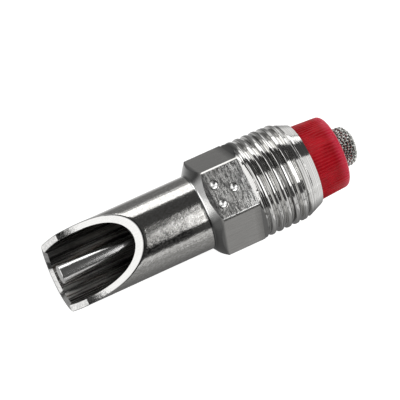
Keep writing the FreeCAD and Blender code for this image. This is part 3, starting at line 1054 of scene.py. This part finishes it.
def make_weave(material):
    """Plain weave: wires in two directions that pass over and under each other, formed to a thimble."""
    reach = 0.0
    while thimble(reach, WEAVE_INSET)[0] > CAP_X[1] - 0.7:
        reach += 0.02
    points = []
    faces = []
    count = int(reach / MESH_PITCH)
    step = MESH_PITCH / 6
    for across in (False, True):
        for k in range(-count, count + 1):
            fixed = k * MESH_PITCH
            half = math.sqrt(reach**2 - fixed**2)
            sign = (-1) ** k * (-1 if across else 1)
            path = []
            samples = max(2, int(2 * half / step))
            for i in range(samples + 1):
                along = lerp(-half, half, i / samples)
                lift = sign * WIRE_R * 0.95 * math.cos(math.pi * along / MESH_PITCH)
                u, v = (fixed, along) if across else (along, fixed)
                path.append(wire_point(u, v, lift, WEAVE_INSET))
            base = len(points)
            wire_points, wire_faces = sweep(path, WIRE_R * MM, 6)
            points += wire_points
            faces += [tuple(base + i for i in f) for f in wire_faces]
    return wire_piece("strainer_weave", points, faces, material, 50.0)


def make_shade_sheet(material):
    """A dark sheet inside the weave: painted shade that shows between the wires."""
    step = 0.3
    outside = []
    while not outside or outside[-1][0] > CAP_X[1] - 0.6:
        outside.append(thimble(step * len(outside), SHADE_SHEET_INSET)[:2])
    inside = [thimble(step * k, SHADE_SHEET_INSET + SHADE_SHEET_WALL)[:2] for k in range(len(outside))]
    return turned("strainer_shade_sheet", outside + inside[::-1], [material], 72)


def make_sleeve(material):
    """Plain sleeve and rim that hold the weave inside the cap."""
    inner = STRAINER_R - SLEEVE_WALL
    front, back = RIM_X
    end = CAP_X[1] - 0.9
    corners = [(end, inner), (end, STRAINER_R), (back, STRAINER_R, 0.1), (back, RIM_R, 0.1),
               (front, RIM_R, 0.1), (front, inner)]
    return turned("strainer_sleeve", corners, [material], 72)


# Studio

def view_axes():
    """Right, up and towards-the-camera directions of the photograph in the part's frame."""
    along = Vector((math.cos(AXIS_IN_PICTURE), math.sin(AXIS_IN_PICTURE), 0.0))
    level = Vector((along.y, -along.x, 0.0))
    toward = Vector((0.0, 0.0, 1.0))
    axis = along * math.cos(AXIS_AWAY) - toward * math.sin(AXIS_AWAY)
    facing = along * math.sin(AXIS_AWAY) + toward * math.cos(AXIS_AWAY)
    mouth = facing * math.cos(ROLL) + level * math.sin(ROLL)
    third = mouth.cross(axis)
    return [Vector((axis[i], third[i], mouth[i])) for i in range(3)]


def make_camera():
    """The photograph's long lens, aimed so that the part's origin falls where it is in the picture."""
    right, up, back = view_axes()
    focal_px = PIXELS_PER_MM * CAMERA_MM
    aim = -back - right * (ORIGIN_RIGHT_PX / focal_px) - up * (ORIGIN_UP_PX / focal_px)
    behind = -aim.normalized()
    level = (right - behind * right.dot(behind)).normalized()
    upward = behind.cross(level)
    camera = bpy.data.cameras.new("photo_camera")
    camera.sensor_width = SENSOR_MM
    camera.lens = focal_px * SENSOR_MM / PIXELS
    camera.clip_start = 0.01
    camera.clip_end = 20.0
    holder = bpy.data.objects.new("photo_camera", camera)
    bpy.context.scene.collection.objects.link(holder)
    turn = Matrix((level, upward, behind)).transposed().to_4x4()
    holder.matrix_world = Matrix.Translation(back * CAMERA_MM * MM) @ turn
    bpy.context.scene.camera = holder


def softbox(name, place, width, height, radiance, facing=None):
    """A rectangular softbox at a place in mm from the object's middle, seen by reflections only."""
    facing = Vector(facing or place).normalized()
    lamp = bpy.data.lights.new(name, "AREA")
    lamp.shape = "RECTANGLE"
    lamp.size = width * MM
    lamp.size_y = height * MM
    lamp.energy = radiance * math.pi * lamp.size * lamp.size_y
    holder = bpy.data.objects.new(name, lamp)
    bpy.context.scene.collection.objects.link(holder)
    along = Vector((1, 0, 0)) if abs(facing.x) < 0.6 else Vector((0, 1, 0))
    along = (along - facing * along.dot(facing)).normalized()
    turn = Matrix((along, facing.cross(along), facing)).transposed().to_4x4()
    holder.matrix_world = Matrix.Translation((OBJECT_MIDDLE + Vector(place)) * MM) @ turn
    holder.visible_camera = False
    return holder


def far(x, y, z):
    """The place at the lamps' usual distance in a direction."""
    return Vector((x, y, z)).normalized() * LIGHT_DISTANCE


def round_axis(degrees, lean):
    """A lamp's place at an angle round the part's axis, leaning towards +X by lean."""
    a = math.radians(degrees)
    return far(lean, math.sin(a), math.cos(a))


def make_lights():
    """Softboxes on four sides and a wide one over the inlet's side, with a dim room between them."""
    softbox("key_side", round_axis(73.5, 0.1), 950, 240, 2.1)
    softbox("spout_end", far(-0.88, 0.1, 0.42), 550, 460, 1.35)
    softbox("inlet_end", far(0.84, -0.37, 0.39), 560, 420, 1.0)
    softbox("top_strip", round_axis(-15, 0.38), 220, 150, 0.65)
    softbox("low_side", round_axis(-79, 0.1), 800, 150, 0.75)
    softbox("overhead", (189, -125, 350), 228, 380, 2.25, facing=(0, 0, 1))


def make_world():
    """White where the camera looks past the floor, a dim studio where surfaces reflect it."""
    world = bpy.data.worlds.new("studio")
    bpy.context.scene.world = world
    world.use_nodes = True
    n = Nodes(world.node_tree)
    paths = n.add("ShaderNodeLightPath").outputs
    seen = n.most(paths["Is Camera Ray"], paths["Is Transmission Ray"])
    room = n.math("ADD", n.times(paths["Is Diffuse Ray"], 0.30), 0.07)
    strength = n.most(seen, room)
    light = n.add("ShaderNodeBackground", {"Color": (1, 1, 1, 1), "Strength": strength})
    n.add("ShaderNodeOutputWorld", {"Surface": light.outputs[0]})


def floor_material():
    """Pale matt board that keeps the shadow. In reflections it glows with a painted profile: bright close
    behind the part and past the inlet, dimmer past the spout's end, and dim close in front of the part as
    painted shadow.
    """
    material, n = new_material("pale_board")
    paths = n.add("ShaderNodeLightPath").outputs
    seen = n.most(paths["Is Camera Ray"], paths["Is Transmission Ray"])
    x, y, _ = n.xyz()
    # Painted reflection: a made-up profile that only glossy rays see, bright close behind the part (+Y)
    # and dim close in front (-Y) as painted shadow
    behind = n.times(n.level(y, 9.0, 24.0, 1.0, 0.25, "SMOOTHSTEP"), n.level(x, -37.0, -31.0, 0.3, 1.0))
    before = n.level(y, -34.0, -9.0, 0.42, 0.16)
    sides = n.math("ADD", n.times(n.math("GREATER_THAN", y, 0.0), behind),
                   n.times(n.math("LESS_THAN", y, 0.0), before))
    front = n.times(n.level(x, -43.5, -42.5, 1.0, 0.0), 0.42)
    ends = n.most(front, n.level(x, 12.0, 30.0, 0.0, 1.0))
    mirrored = n.most(sides, ends)
    glossy = paths["Is Glossy Ray"]
    # Camera rays see the board white; glossy rays see it glow with the painted profile
    lift = n.math("ADD", n.times(seen, 0.8), n.times(glossy, mirrored))
    lit = n.math("SUBTRACT", 0.5, n.times(glossy, 0.5))
    grey = n.add("ShaderNodeCombineColor", {0: lit, 1: lit, 2: lit}).outputs[0]
    board = n.add("ShaderNodeBsdfDiffuse", {"Color": grey})
    white = n.add("ShaderNodeEmission", {"Color": (1, 1, 1, 1), "Strength": lift})
    both = n.add("ShaderNodeAddShader", {0: board.outputs[0], 1: white.outputs[0]})
    n.add("ShaderNodeOutputMaterial", {"Surface": both.outputs[0]})
    return material


def make_floor():
    """A wide board that touches the first thread crest and the spout's end, so the part rests on it."""
    crest = Vector((0.0, 0.0, -THREAD_R)) * MM
    heel = Vector((TIP[0], 0.0, -SPOUT_R)) * MM
    along = (crest - heel).normalized()
    up = along.cross(Vector((0, 1, 0))).normalized()
    if up.z < 0:
        up = -up
    side = up.cross(along)
    under = crest - up * BOARD_GAP * MM
    corners = [under + (along * a + side * b) * BOARD_HALF
               for a, b in ((-1, -1), (1, -1), (1, 1), (-1, 1))]
    mesh = bpy.data.meshes.new("floor")
    mesh.from_pydata([tuple(c) for c in corners], [], [(0, 1, 2, 3)])
    mesh.materials.append(floor_material())
    board = bpy.data.objects.new("floor", mesh)
    bpy.context.scene.collection.objects.link(board)


def attach(piece, body, slot, *nodes):
    """Puts a piece on its body in place of CAD nodes."""
    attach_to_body(piece, body)
    if nodes:
        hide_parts(*nodes)


def main():
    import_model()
    bpy.context.scene.view_settings.view_transform = "Standard"
    make_camera()
    make_lights()
    make_world()
    make_floor()
    body = make_body([polished_steel(), drawn_steel(), ground_steel(), lip_steel(), threaded_steel(),
                      bore_steel(), dimple_highlight_steel()])
    attach(body, "housing", "polished_steel", "body")
    attach(make_pin(pin_steel()), "valve_pin", "pin_steel", "bite_pin")
    spring = make_spring(wire_steel("spring_wire", (0.55, 0.54, 0.52, 1.0), 0.25))
    attach(spring, "housing", "spring_steel", "spring")
    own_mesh(spring)
    seat, seal, disc = make_small_parts(soft_rubber("seat_rubber", (0.02, 0.02, 0.02, 1.0)),
                                        soft_rubber("ring_rubber", (0.03, 0.03, 0.03, 1.0)),
                                        soft_rubber("disc_plastic", (0.62, 0.62, 0.6, 1.0)))
    attach(seat, "housing", "seal_rubber", "seat_seal")
    attach(disc, "housing", "disc_plastic", "flow_disc")
    attach(seal, "inlet_filter", "seal_rubber", "cap_seal")
    attach(make_cap(red_plastic()), "inlet_filter", "red_plastic", "filter_cap")
    wire = wire_steel("mesh_wire", (0.58, 0.58, 0.56, 1.0), 0.3)
    attach(make_weave(wire), "inlet_filter", "mesh_steel", "strainer")
    # A dark sheet inside the weave, as painted shade between the wires
    shade_sheet = make_shade_sheet(wire_steel("dark_shade_sheet", DIRT_AND_SHADE, 0.5))
    attach(shade_sheet, "inlet_filter", "mesh_steel")
    attach(make_sleeve(wire), "inlet_filter", "mesh_steel")


main()
